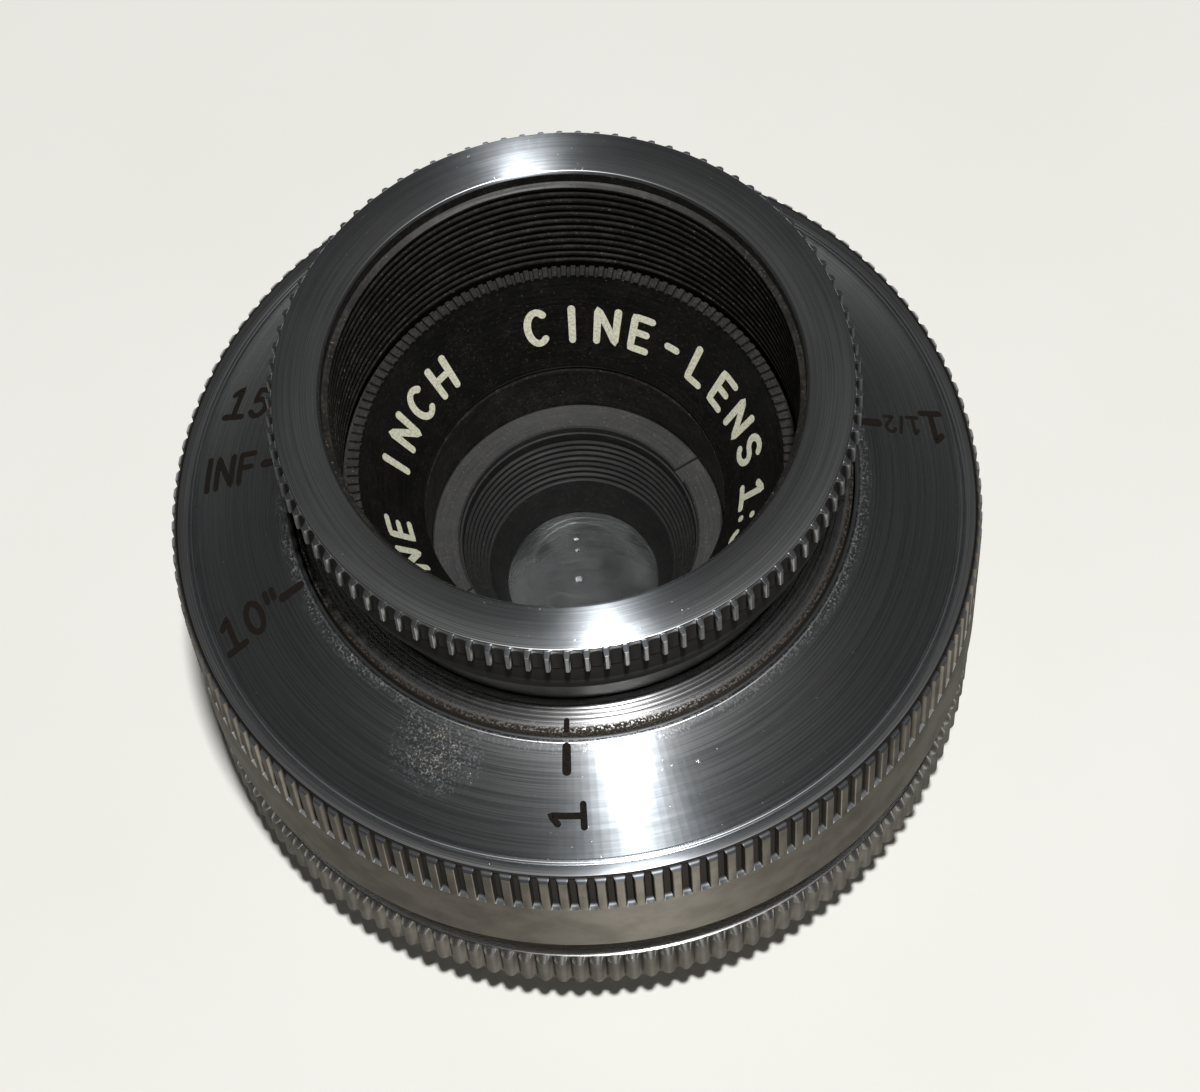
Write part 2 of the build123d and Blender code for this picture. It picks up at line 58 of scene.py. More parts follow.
# columns of a plain turned mesh, round of its corners and the angle where its shading breaks
COLUMNS = 720
CORNER = 0.04
SHARP_ANGLE = 30

FACE_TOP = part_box("aperture_ring")[1].z / MM - SEAT
HOOD_RADIUS = 13.25
HOOD_BORE = 10.8
HOOD_TEETH = 96
HOOD_CUT = 0.34
HOOD_KNURL_BOTTOM = 24.22
SLEEVE_RADIUS = 11.3

SKIRT_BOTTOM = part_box("focus_ring")[0].z / MM - SEAT
FOCUS_RADIUS = 19.05
FOCUS_TEETH = 138
FOCUS_CUT = 0.27
KNURL_BOTTOM = 10.5
RIM_TOP = 14.0
CONE_FOOT = (17.96, 14.07)
CONE_TOP = (13.4, 16.75)

SHOULDER_INNER = 11.36
SHOULDER_OUTER = 12.98
SHOULDER_TOP = 17.0

FLANGE_RADIUS = 18.95
FLANGE_TEETH = 138
FLANGE_CUT = 0.34
THREAD_PITCH = 25.4 / 32

NAME_FACE_INNER = (7.05, 14.45)
NAME_FACE_OUTER = (9.74, 18.06)
NAME_RIBS = 144
RIB_CUT = 0.16

INDEX_ANGLE = -90
PATCH_ANGLE = -114
ANGLE_AT_ONE_FOOT = 266

CAMERA_AIM = (1.2, -2.3, 14.0)
CAMERA_DISTANCE = 183.8
CAMERA_AZIMUTH = 5.93
CAMERA_ELEVATION = 64.27
CAMERA_ROLL = -5.51
CAMERA_LENS = 118.2

# lengths of the lamp in metres, its power in watts
LAMP_AIM = (0, 0, 0.014)
LAMP_DIRECTION = (0.069, -0.2, 0.978)
LAMP_DISTANCE = 0.6
LAMP_SIZE = (0.034, 0.03)
LAMP_POWER = 4.2
WORLD_STRENGTH = 0.036

# ---------------------------------------------------------------- mesh tools


def spot(radius, angle, height):
    """Point at a radius, an angle in radians and a height above the flange's seating face."""
    return Vector((radius * cos(angle), radius * sin(angle), height + SEAT)) * MM


def finished_mesh(name, vertices, faces):
    """Object with merged points, outward faces and smooth shading up to a sharp angle."""
    mesh = bpy.data.meshes.new(name)
    mesh.from_pydata(vertices, [], faces)
    shape = bmesh.new()
    shape.from_mesh(mesh)
    bmesh.ops.remove_doubles(shape, verts=shape.verts, dist=1e-7)
    bmesh.ops.recalc_face_normals(shape, faces=shape.faces)
    shape.to_mesh(mesh)
    shape.free()
    mesh.shade_smooth()
    mesh.set_sharp_from_angle(angle=radians(SHARP_ANGLE))
    piece = bpy.data.objects.new(name, mesh)
    bpy.context.scene.collection.objects.link(piece)
    return piece


def softened(profile, size=CORNER):
    """Profile with each plain corner broken by a small round."""
    points = []
    for index, corner in enumerate(profile):
        before = profile[index - 1]
        after = profile[(index + 1) % len(profile)]
        if len(corner) > 2 or corner[0] < 0.01:
            points.append(corner)
            continue
        here = Vector(corner[:2])
        back = Vector(before[:2]) - here
        forth = Vector(after[:2]) - here
        reach = min(size, back.length * 0.4, forth.length * 0.4)
        start = here + back.normalized() * reach
        end = here + forth.normalized() * reach
        middle = (start + end + 2 * here) / 4
        points += [tuple(start), tuple(middle), tuple(end)]
    return points


def turned(name, profile, teeth=None):
    """Ring turned from a closed profile of (radius, height) points in millimetres.

    A point with two more numbers also moves by them, times the depth of cut between the teeth.
    teeth is (number, depth, shape), where shape lists (phase, share of the depth) over one tooth.
    """
    if teeth:
        count, depth, shape = teeth
        columns = [
            ((tooth + phase) * 2 * pi / count, depth * share)
            for tooth in range(count)
            for phase, share in shape
        ]
    else:
        columns = [(column * 2 * pi / COLUMNS, 0) for column in range(COLUMNS)]
    vertices = []
    for angle, cut in columns:
        for point in profile:
            radius, height = point[:2]
            if len(point) > 2:
                radius += point[2] * cut
                height += point[3] * cut
            vertices.append(spot(radius, angle, height))
    rows = len(profile)
    faces = []
    for column in range(len(columns)):
        here = column * rows
        there = (column + 1) % len(columns) * rows
        for row in range(rows):
            above = (row + 1) % rows
            faces.append((here + row, there + row, there + above, here + above))
    return finished_mesh(name, vertices, faces)


def ridges(crest, root, bottom, top, pitch):
    """Profile points of a row of thread grooves, from the bottom up."""
    points = []
    turns = int((top - bottom) / pitch)
    for turn in range(turns):
        height = bottom + turn * pitch
        points += [(crest, height), (crest, height + pitch / 4), (root, height + pitch * 5 / 8)]
    points += [(crest, bottom + turns * pitch), (crest, bottom + (turns + 1 / 4) * pitch)]
    return points


# ---------------------------------------------------------------- lettering


def bow(x, y, half_width, half_height, start, end, steps=10):
    """Points of an elliptic arc between two angles in degrees."""
    angles = [radians(start + (end - start) * step / steps) for step in range(steps + 1)]
    return [(x + half_width * cos(a), y + half_height * sin(a)) for a in angles]


# strokes of each sign in a box one unit high, the width of the sign first; * is the inch sign
SIGNS = {
    "0": (0.56, [bow(0.28, 0.5, 0.28, 0.5, 90, 450, 24)]),
    "1": (0.7, [[(0.1, 0.78), (0.35, 1), (0.35, 0)], [(0, 0), (0.7, 0)]]),
    "2": (0.56, [bow(0.28, 0.72, 0.28, 0.28, 170, -35) + [(0, 0), (0.56, 0)]]),
    "3": (0.56, [bow(0.27, 0.75, 0.25, 0.25, 150, -90) + bow(0.27, 0.27, 0.28, 0.27, 90, -150)]),
    "4": (0.6, [[(0.44, 0), (0.44, 1), (0, 0.3), (0.6, 0.3)]]),
    "5": (0.56, [[(0.5, 1), (0.08, 1), (0.04, 0.56)] + bow(0.26, 0.32, 0.3, 0.32, 120, -150)]),
    "6": (0.56, [bow(0.42, 0.45, 0.42, 0.55, 100, 180) + bow(0.28, 0.3, 0.28, 0.3, 180, -180, 20)]),
    "C": (0.56, [bow(0.3, 0.5, 0.3, 0.5, 50, 310, 20)]),
    "E": (0.5, [[(0.5, 1), (0, 1), (0, 0), (0.5, 0)], [(0, 0.52), (0.42, 0.52)]]),
    "F": (0.5, [[(0.5, 1), (0, 1), (0, 0)], [(0, 0.52), (0.42, 0.52)]]),
    "H": (0.56, [[(0, 0), (0, 1)], [(0.56, 0), (0.56, 1)], [(0, 0.52), (0.56, 0.52)]]),
    "I": (0.08, [[(0.04, 0), (0.04, 1)]]),
    "L": (0.48, [[(0, 1), (0, 0), (0.48, 0)]]),
    "N": (0.58, [[(0, 0), (0, 1), (0.58, 0), (0.58, 1)]]),
    "O": (0.62, [bow(0.31, 0.5, 0.31, 0.5, 90, 450, 24)]),
    "S": (0.54, [bow(0.27, 0.75, 0.26, 0.25, 30, 270) + bow(0.27, 0.25, 0.27, 0.25, 90, -150)]),
    ":": (0.08, [[(0.04, 0.12), (0.04, 0.14)], [(0.04, 0.68), (0.04, 0.7)]]),
    ".": (0.08, [[(0.04, 0), (0.04, 0.02)]]),
    "-": (0.3, [[(0, 0.5), (0.3, 0.5)]]),
    "/": (0.3, [[(0, 0), (0.3, 1)]]),
    "*": (0.3, [[(0.02, 0.7), (0.02, 1)], [(0.28, 0.7), (0.28, 1)]]),
    " ": (0.3, []),
}


def even_points(stroke, step):
    """The same stroke with a point about every step."""
    points = [Vector(stroke[0])]
    for start, end in zip(stroke, stroke[1:]):
        start, end = Vector(start), Vector(end)
        parts = max(1, round((end - start).length / step))
        points += [start.lerp(end, part / parts) for part in range(1, parts + 1)]
    return points


def stroke_strip(stroke, width):
    """Pairs of left and right edge points of a stroke with round ends."""
    half = width / 2
    points = even_points(stroke, width / 3)
    start_way = (points[1] - points[0]).normalized()
    end_way = (points[-1] - points[-2]).normalized()
    cap = [(share * half, sqrt(1 - share * share) * half) for share in (0.45, 0.8, 0.99)]
    stations = [(points[0] - start_way * along, across) for along, across in reversed(cap)]
    stations += [(point, half) for point in points]
    stations += [(points[-1] + end_way * along, across) for along, across in cap]
    pairs = []
    for index, (centre, reach) in enumerate(stations):
        before = stations[max(index - 1, 0)][0]
        after = stations[min(index + 1, len(stations) - 1)][0]
        way = (after - before).normalized()
        side = Vector((-way.y, way.x)) * reach
        pairs.append((centre + side, centre - side))
    return pairs


# how far the paint of the engravings stands above the metal and reaches into it
PAINT_PROUD = 0.006
PAINT_DEPTH = 0.03


def inlay(strokes, width, place, vertices, faces):
    """Adds thin closed bars for the strokes, laid on a surface by place(x, y, lift)."""
    for stroke in strokes:
        pairs = stroke_strip(stroke, width)
        first = len(vertices)
        for left, right in pairs:
            for edge in (left, right):
                vertices.append(place(edge.x, edge.y, PAINT_PROUD))
            for edge in (left, right):
                vertices.append(place(edge.x, edge.y, -PAINT_DEPTH))
        for index in range(len(pairs) - 1):
            a = first + 4 * index
            b = a + 4
            faces.append((a, a + 1, b + 1, b))
            faces.append((a + 2, b + 2, b + 3, a + 3))
            faces.append((a, b, b + 2, a + 2))
            faces.append((a + 1, a + 3, b + 3, b + 1))
        last = first + 4 * (len(pairs) - 1)
        faces.append((first, first + 2, first + 3, first + 1))
        faces.append((last, last + 1, last + 3, last + 2))


def text_strokes(text, height, spacing):
    """Strokes of a line of text centred on zero, and its width."""
    strokes = []
    x = 0
    for sign in text:
        width, lines = SIGNS[sign]
        strokes += [[((px + x) * height, py * height) for px, py in line] for line in lines]
        x += width + spacing
    total = (x - spacing) * height
    return [[(px - total / 2, py - height / 2) for px, py in line] for line in strokes], total


def on_cone(inner, outer, radius, angle, turn):
    """Place function for lettering on the cone face from an inner to an outer profile point.

    turn is the angle from outward to the up direction of the lettering.
    """
    outward = Vector((outer[0] - inner[0], outer[1] - inner[1])).normalized()
    normal = Vector((-outward.y, outward.x))
    height = inner[1] + (radius - inner[0]) * (outer[1] - inner[1]) / (outer[0] - inner[0])

    def place(x, y, lift):
        across = x * cos(radians(turn)) - y * sin(radians(turn))
        along = x * sin(radians(turn)) + y * cos(radians(turn))
        r = radius + along * outward.x + lift * normal.x
        z = height + along * outward.y + lift * normal.y
        return spot(r, radians(angle) - across / radius, z)

    return place


# ---------------------------------------------------------------- material tools


class Graph:
    """Short calls for the nodes of one material, with its turning coordinates in millimetres."""

    def __init__(self, name):
        self.material = bpy.data.materials.new(name)
        self.material.use_nodes = True
        self.tree = self.material.node_tree
        self.shader = self.tree.nodes["Principled BSDF"]
        where = self.node("ShaderNodeTexCoord").outputs["Object"]
        scaled = self.node("ShaderNodeVectorMath", operation="SCALE")
        scaled.inputs["Scale"].default_value = 1 / MM
        self.link(where, scaled.inputs[0])
        self.place = scaled.outputs[0]
        split = self.node("ShaderNodeSeparateXYZ")
        self.link(self.place, split.inputs[0])
        self.x, self.y, self.z = split.outputs
        across = self.math("MULTIPLY", self.x, self.x)
        squares = self.math("ADD", across, self.math("MULTIPLY", self.y, self.y))
        self.radius = self.math("SQRT", squares, 0)

    def node(self, kind, **settings):
        made = self.tree.nodes.new(kind)
        for key, value in settings.items():
            setattr(made, key, value)
        return made

    def link(self, source, target):
        self.tree.links.new(source, target)

    def feed(self, value, target):
        if isinstance(value, (int, float, tuple)):
            target.default_value = value
        else:
            self.link(value, target)

    def math(self, operation, a, b, clamp=False):
        made = self.node("ShaderNodeMath", operation=operation, use_clamp=clamp)
        self.feed(a, made.inputs[0])
        self.feed(b, made.inputs[1])
        return made.outputs[0]

    def span(self, value, low, high, out_low=0.0, out_high=1.0):
        made = self.node("ShaderNodeMapRange", interpolation_type="SMOOTHSTEP")
        for socket, given in zip(made.inputs, (value, low, high, out_low, out_high)):
            self.feed(given, socket)
        return made.outputs[0]

    def noise(self, scale, detail=3.0, vector=None, rough=0.55):
        made = self.node("ShaderNodeTexNoise")
        self.link(vector or self.place, made.inputs["Vector"])
        made.inputs["Scale"].default_value = scale
        made.inputs["Detail"].default_value = detail
        made.inputs["Roughness"].default_value = rough
        return made.outputs[0]

    def facing_up(self):
        """How far the face leans toward level, 0 on upright faces and 1 on level ones."""
        split = self.node("ShaderNodeSeparateXYZ")
        self.link(self.node("ShaderNodeNewGeometry").outputs["True Normal"], split.inputs[0])
        return self.math("ABSOLUTE", split.outputs[2], 0)

    def streaks(self, fineness, run):
        """Noise drawn out around the axis, as a turning tool leaves it."""
        across = self.math("ADD", self.radius, self.math("MULTIPLY", self.z, 0.8))
        vector = self.node("ShaderNodeCombineXYZ")
        self.feed(self.math("MULTIPLY", self.x, run), vector.inputs[0])
        self.feed(self.math("MULTIPLY", self.y, run), vector.inputs[1])
        self.feed(self.math("MULTIPLY", across, fineness), vector.inputs[2])
        return self.noise(1.0, 2.0, vector.outputs[0], 0.6)

    def mix(self, share, a, b):
        made = self.node("ShaderNodeMix", data_type="RGBA")
        self.feed(share, made.inputs["Factor"])
        self.feed(a if not isinstance(a, tuple) else (*a, 1.0), made.inputs[6])
        self.feed(b if not isinstance(b, tuple) else (*b, 1.0), made.inputs[7])
        return made.outputs[2]

    def blend(self, share, a, b):
        made = self.node("ShaderNodeMix", data_type="FLOAT")
        for socket, given in zip((made.inputs[0], made.inputs[2], made.inputs[3]), (share, a, b)):
            self.feed(given, socket)
        return made.outputs[0]

    def bump(self, height, depth, strength=1.0, under=None):
        made = self.node("ShaderNodeBump")
        made.inputs["Strength"].default_value = strength
        made.inputs["Distance"].default_value = depth * MM
        self.link(height, made.inputs["Height"])
        if under:
            self.link(under, made.inputs["Normal"])
        return made.outputs[0]


# the hazy film on clean metal, and the dry crumbs in the grime on the cone
FILM_ROUGHNESS = 0.28
FILM_IOR = 3.0
SANDY_GRIME = (0.36, 0.3, 0.21)


def shade(tone, factor):
    """The same colour, darker or lighter."""
    return tuple(channel * factor for channel in tone)


def turned_metal(name, tone, gloss, aniso, side=None, grime_and_shade=None, grime_and_shade_colour=None, film=0.5):
    """Bare turned aluminium with fine circular marks, oxide, nicks, dirt and painted shade.

    side is the browner, darker tone of the upright faces: partly tarnish where hands have touched,
    partly painted shade.
    film is the share of a thin hazy film over the clean metal.
    """
    g = Graph(name)
    fine = g.streaks(26.0, 0.1)
    long_marks = g.streaks(9.0, 0.03)
    cloud = g.noise(0.6, 5.0)
    pits = g.span(g.noise(5.0, 2.0), 0.7, 0.76)
    nicks = g.math("MULTIPLY", pits, g.span(g.noise(0.9, 2.0), 0.5, 0.62))
    flat_tone = g.mix(g.span(cloud, 0.35, 0.7, 0.0, 0.6), tone, shade(tone, 0.72))
    marked = g.mix(g.span(fine, 0.4, 0.75, 0.0, 0.25), flat_tone, shade(tone, 0.6))
    colour = g.mix(g.math("MULTIPLY", nicks, 0.3), marked, (0.6, 0.58, 0.55))
    scored = g.span(long_marks, 0.4, 0.65, 0.0, 0.015)
    worn = g.math("ADD", scored, g.span(cloud, 0.4, 0.65, 0.0, 0.025))
    roughness = g.math("ADD", g.math("ADD", worn, gloss), g.math("MULTIPLY", nicks, 0.2))
    clean = film
    if side:
        # the upright faces take the side tone: tarnish from handling and painted shade
        upright = g.span(g.facing_up(), 0.25, 0.6, 1.0, 0.0)
        film_marks = g.span(fine, 0.36, 0.62, film * 0.45, film)
        clean = g.math("MULTIPLY", g.math("SUBTRACT", 1.0, upright), film_marks)
        handled_and_shaded = g.mix(g.span(cloud, 0.35, 0.7, 0.0, 0.7), side, shade(side, 0.6))
        colour = g.mix(upright, colour, handled_and_shaded)
        roughness = g.math("ADD", roughness, g.math("MULTIPLY", upright, 0.25))
    g.shader.inputs["Metallic"].default_value = 1.0
    g.shader.inputs["Coat Roughness"].default_value = FILM_ROUGHNESS
    g.shader.inputs["Coat IOR"].default_value = FILM_IOR
    # the given mask paints dirt on the shoulder, painted shade on the front knurl and both on the
    # focus ring
    if grime_and_shade:
        grime_and_shade_mask = grime_and_shade(g)
        sandy = g.mix(g.span(g.noise(14.0, 2.0), 0.42, 0.6), grime_and_shade_colour, SANDY_GRIME)
        inside_rim = g.span(g.radius, 17.0, 17.5, 1.0, 0.0)
        on_cone_face = g.math("MULTIPLY", g.span(g.radius, 13.25, 13.4), inside_rim)
        colour = g.mix(grime_and_shade_mask, colour, g.mix(on_cone_face, grime_and_shade_colour, sandy))
        roughness = g.blend(grime_and_shade_mask, roughness, 0.85)
        g.link(g.blend(grime_and_shade_mask, 1.0, g.blend(on_cone_face, 0.7, 0.1)), g.shader.inputs["Metallic"])
        clean = g.math("MULTIPLY", g.span(grime_and_shade_mask, 0.0, 0.6, 1.0, 0.0), clean)
    g.link(colour, g.shader.inputs["Base Color"])
    g.link(roughness, g.shader.inputs["Roughness"])
    g.feed(clean, g.shader.inputs["Coat Weight"])
    g.shader.inputs["Anisotropic"].default_value = aniso
    g.shader.inputs["Anisotropic Rotation"].default_value = 0.25
    around = g.node("ShaderNodeTangent", direction_type="RADIAL", axis="Z")
    g.link(around.outputs[0], g.shader.inputs["Tangent"])
    fine_relief = g.bump(long_marks, 0.0005)
    g.link(g.bump(nicks, 0.005, 0.5, fine_relief), g.shader.inputs["Normal"])
    return g.material


def blackened(name, tone, gloss, dust=0.25, marks=8.0):
    """Blackened metal with turning marks, brown dust on it and rubbed spots."""
    g = Graph(name)
    lines = g.streaks(marks, 0.3)
    specks = g.span(g.noise(9.0, 3.0), 0.62, 0.7)
    fine_dust = g.span(g.noise(5.0, 4.0), 0.4, 0.65)
    film = g.math("MULTIPLY", fine_dust, g.span(g.noise(0.7, 3.0), 0.35, 0.65))
    rubbed = g.span(g.noise(1.1, 5.0), 0.45, 0.8, 0.0, dust)
    colour = g.mix(rubbed, tone, tuple(0.03 + c * 1.6 for c in tone))
    colour = g.mix(g.math("MULTIPLY", film, dust * 0.8), colour, (0.09, 0.075, 0.055))
    colour = g.mix(g.math("MULTIPLY", specks, dust, True), colour, (0.3, 0.25, 0.18))
    g.link(colour, g.shader.inputs["Base Color"])
    g.link(g.span(lines, 0.3, 0.7, gloss - 0.07, gloss + 0.1), g.shader.inputs["Roughness"])
    g.shader.inputs["Specular IOR Level"].default_value = 0.4
    g.link(g.bump(g.math("ADD", lines, specks), 0.01, 0.8), g.shader.inputs["Normal"])
    return g.material


def filled_paint(name, tone, gloss, shine=0.5):
    """Paint wiped into an engraving, slightly uneven."""
    g = Graph(name)
    grain = g.noise(9.0, 3.0)
    colour = g.mix(g.span(grain, 0.35, 0.75), tone, shade(tone, 0.6))
    g.link(colour, g.shader.inputs["Base Color"])
    g.link(g.span(grain, 0.2, 0.8, gloss, gloss + 0.25), g.shader.inputs["Roughness"])
    g.shader.inputs["Specular IOR Level"].default_value = shine
    g.link(g.bump(grain, 0.01), g.shader.inputs["Normal"])
    return g.material


def optical_glass(name, tint):
    """Polished glass with a thin haze and a little dust on it."""
    g = Graph(name)
    dust = g.span(g.noise(0.45, 4.0), 0.38, 0.68, 0.0, 0.045)
    g.feed((*tint, 1.0), g.shader.inputs["Base Color"])
    g.link(g.math("MULTIPLY", dust, 0.2), g.shader.inputs["Roughness"])
    g.link(g.math("SUBTRACT", 0.985, dust), g.shader.inputs["Transmission Weight"])
    g.shader.inputs["IOR"].default_value = 1.7
    return g.material


def ring_grime_and_shade(g):
    """Grime at the inner edge of the cone and one corroded patch, and painted shade down the cuts
    between the teeth.
    """
    edge = g.span(g.radius, 13.1, 13.28, 0.9, 0.0)
    blotches = g.span(g.noise(1.8, 3.0), 0.38, 0.6, 0.2)
    specks = g.math("MULTIPLY", g.span(g.noise(9.0, 4.0), 0.5, 0.62), blotches)
    near_edge = g.math("MULTIPLY", g.span(g.radius, 13.2, 14.0, 0.9, 0.0), specks)
    from_patch = g.node("ShaderNodeVectorMath", operation="DISTANCE")
    g.link(g.place, from_patch.inputs[0])
    from_patch.inputs[1].default_value = spot(14.4, radians(PATCH_ANGLE), 16.1) / MM
    patch = g.math("MULTIPLY", g.span(from_patch.outputs["Value"], 0.5, 2.8, 1.0, 0.0), specks)
    # painted shade down the cuts of the focus knurl
    under_crests = g.span(g.radius, FOCUS_RADIUS - 0.25, FOCUS_RADIUS - 0.07, 1.0, 0.0)
    above_roots = g.span(g.radius, FOCUS_RADIUS - 0.35, FOCUS_RADIUS - 0.31)
    between = g.math("MULTIPLY", under_crests, above_roots)
    knurl_bottom = SEAT + KNURL_BOTTOM
    shade_in_cuts = g.math("MULTIPLY", between, g.span(g.z, knurl_bottom, knurl_bottom + 0.2))
    return g.math("MAXIMUM", g.math("MAXIMUM", edge, near_edge), g.math("MAXIMUM", patch, shade_in_cuts))


def shoulder_grime(g):
    """Grime at the outer edge of the shoulder and in streaks around it."""
    crumbs = g.span(g.noise(9.0, 4.0), 0.3, 0.52)
    near_edge = g.span(g.radius, SHOULDER_OUTER - 0.43, SHOULDER_OUTER - 0.13)
    edge = g.math("MULTIPLY", near_edge, crumbs)
    streaks = g.span(g.streaks(9.0, 0.1), 0.55, 0.75, 0.0, 0.12)
    return g.math("MAXIMUM", edge, streaks)


def hood_painted_shade(g):
    """Painted shade in the cuts and on the top edge of the front knurl, and over the band under it.
    """
    face = SEAT + FACE_TOP
    under_crests = g.span(g.radius, HOOD_RADIUS - 0.2, HOOD_RADIUS - 0.05, 1.0, 0.0)
    above_roots = g.span(g.radius, HOOD_RADIUS - 0.45, HOOD_RADIUS - 0.39)
    cuts = g.math("MULTIPLY", under_crests, above_roots)
    shade_in_cuts = g.math("MULTIPLY", cuts, g.span(g.z, face - 0.45, face - 0.3, 1.0, 0.0))
    knurl_bottom = SEAT + HOOD_KNURL_BOTTOM
    below_knurl = g.span(g.z, knurl_bottom - 0.22, knurl_bottom - 0.07, 0.86, 0.0)
    outside_sleeve = g.span(g.radius, SLEEVE_RADIUS + 0.05, SLEEVE_RADIUS + 0.3)
    band = g.math("MULTIPLY", below_knurl, outside_sleeve)
    near_top = g.span(g.z, face - 0.42, face - 0.3)
    top_edge_shade = g.math("MULTIPLY", g.span(g.radius, 12.95, 13.0), near_top)
    return g.math("MAXIMUM", g.math("MULTIPLY", top_edge_shade, 0.85), g.math("MAXIMUM", shade_in_cuts, band))


# ---------------------------------------------------------------- materials

# the front ring's near-black colour under its mask is painted shade
HOOD_METAL = turned_metal(
    "hood_metal", (0.52, 0.56, 0.6), 0.19, 0.99,
    side=(0.2, 0.2, 0.2), grime_and_shade=hood_painted_shade, grime_and_shade_colour=(0.008, 0.007, 0.006), film=0.9,
)
NECK_METAL = turned_metal(
    "neck_metal", (0.4, 0.4, 0.4), 0.24, 0.95,
    side=(0.1, 0.1, 0.1), grime_and_shade=shoulder_grime, grime_and_shade_colour=(0.03, 0.022, 0.014), film=0.35,
)
# the focus ring's dark colour under its mask is grime at the cone's edge and painted shade in the
# knurl cuts
RING_METAL = turned_metal(
    "ring_metal", (0.36, 0.39, 0.42), 0.19, 0.99,
    side=(0.155, 0.141, 0.117), grime_and_shade=ring_grime_and_shade, grime_and_shade_colour=(0.02, 0.016, 0.012), film=1.0,
)
REAR_METAL = turned_metal("rear_metal", (0.4, 0.39, 0.37), 0.24, 0.9, side=(0.135, 0.125, 0.107))
NAME_BLACK = blackened("name_black", (0.004, 0.004, 0.0035), 0.32, dust=0.08)
INNER_BLACK = blackened("inner_black", (0.006, 0.0055, 0.005), 0.5, dust=0.3)
RIB_BLACK = blackened("rib_black", (0.005, 0.0045, 0.004), 0.65)
CELL_GREY = blackened("cell_grey", (0.026, 0.026, 0.026), 0.42, dust=0.2, marks=20.0)
BORE_BLACK = blackened("bore_black", (0.004, 0.004, 0.004), 0.65, dust=0.1)
BRONZE = turned_metal("bronze", (0.45, 0.3, 0.14), 0.4, 0.4)
STEEL = turned_metal("small_steel", (0.5, 0.5, 0.5), 0.3, 0.2)
BLADE = turned_metal("blade_steel", (0.06, 0.06, 0.07), 0.4, 0.1)
CREAM = filled_paint("cream_paint", (0.66, 0.65, 0.5), 0.6)
BLACK_FILL = filled_paint("black_fill", (0.01, 0.007, 0.005), 0.65, shine=0.15)
GLASS = optical_glass("lens_glass", (0.86, 0.88, 0.88))


def dress(piece, material, body, slot, *nodes, inner=None):
    """Gives a piece its material and body, and hides the CAD nodes it stands for.

    slot is not used; inner is (second material, test on radius and height in mm) for faces of
    another finish.
    """
    piece.data.materials.append(material)
    if inner:
        piece.data.materials.append(inner[0])
        for face in piece.data.polygons:
            centre = face.center / MM
            if inner[1](hypot(centre.x, centre.y), centre.z - SEAT):
                face.material_index = 1
    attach(piece, body)
    if nodes:
        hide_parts(*nodes)
    return piece


# ---------------------------------------------------------------- knurls

# (phase, share of the depth of cut) over one tooth of each knurl
ROUND_TOOTH = [
    (0, 1), (0.12, 0.62), (0.25, 0.22), (0.38, 0.04),
    (0.5, 0), (0.62, 0.04), (0.75, 0.22), (0.88, 0.62),
]
SCALLOPED_TOOTH = [
    (0, 1), (0.18, 0.97), (0.3, 0.85), (0.38, 0.1), (0.42, 0),
    (0.58, 0), (0.62, 0.1), (0.7, 0.85), (0.82, 0.97),
]
FLAT_TOOTH = [(0, 0.1), (0.04, 0), (0.44, 0), (0.48, 0.1), (0.58, 1), (0.9, 1)]

# ---------------------------------------------------------------- aperture ring

# the plain band rounds inward like a quarter of an ellipse
hood_belly = bow(11.95, 24.1, 1.0, 3.8, -90, 0, 24)
hood_profile = softened(
    [
        (9.6, 16.9),
        (SLEEVE_RADIUS, 16.9),
        (SLEEVE_RADIUS, 20.3),
        *hood_belly,
        (HOOD_RADIUS, HOOD_KNURL_BOTTOM, -1, 0),
        (HOOD_RADIUS, FACE_TOP - 0.36, -1, 0.9),
        (HOOD_RADIUS - 0.33, FACE_TOP),
        (HOOD_BORE + 0.12, FACE_TOP),
        (HOOD_BORE, FACE_TOP - 0.12),
        (HOOD_BORE, 25.15),
        *reversed(ridges(HOOD_BORE - 0.3, HOOD_BORE, 18.3, 25.0, 0.6)),
        (HOOD_BORE, 18.15),
        (HOOD_BORE, 17.2),
        (9.6, 17.2),
    ]
)
hood = turned("hood", hood_profile, (HOOD_TEETH, HOOD_CUT, SCALLOPED_TOOTH))
dress(hood, HOOD_METAL, "aperture_ring", "hood_metal", "aperture_ring",
      inner=(INNER_BLACK, lambda r, z: r < HOOD_BORE + 0.02 and z < FACE_TOP - 0.13))

# ---------------------------------------------------------------- focus ring

focus_profile = softened(
    [
        (16.36, SKIRT_BOTTOM),
        (FOCUS_RADIUS - 0.15, SKIRT_BOTTOM),
        (FOCUS_RADIUS, SKIRT_BOTTOM + 0.15),
        (FOCUS_RADIUS, KNURL_BOTTOM - 0.03),
        (FOCUS_RADIUS, KNURL_BOTTOM, -1, 1.2),
        (FOCUS_RADIUS, RIM_TOP - 0.26, -1, 1.0),
        (FOCUS_RADIUS - 0.25, RIM_TOP),
        (18.22, RIM_TOP),
        (18.14, RIM_TOP - 0.07),
        (18.04, RIM_TOP - 0.07),
        CONE_FOOT,
        CONE_TOP,
        (13.3, 16.75),
        (13.06, 16.6),
        (13.06, 14.2),
        (14.45, 14.2),
        (14.45, 13.4),
        (16.0, 13.4),
        (16.0, 11.4),
        (16.36, 11.4),
    ]
)
focus = turned("focus_scale_ring", focus_profile, (FOCUS_TEETH, FOCUS_CUT, FLAT_TOOTH))
dress(focus, RING_METAL, "focus_ring", "ring_metal", "focus_ring")

# label, small fraction after it, turn of the ring from infinity; an empty label is a mark alone
DISTANCES = (
    ("INF", "", 0), ("15", "", 13), ("", "", 23), ("6", "", 39), ("4", "", 60),
    ("3", "", 81), ("2", "", 125), ("1", "1/2", 164), ("1", "", 266), ("10*", "", 332),
)
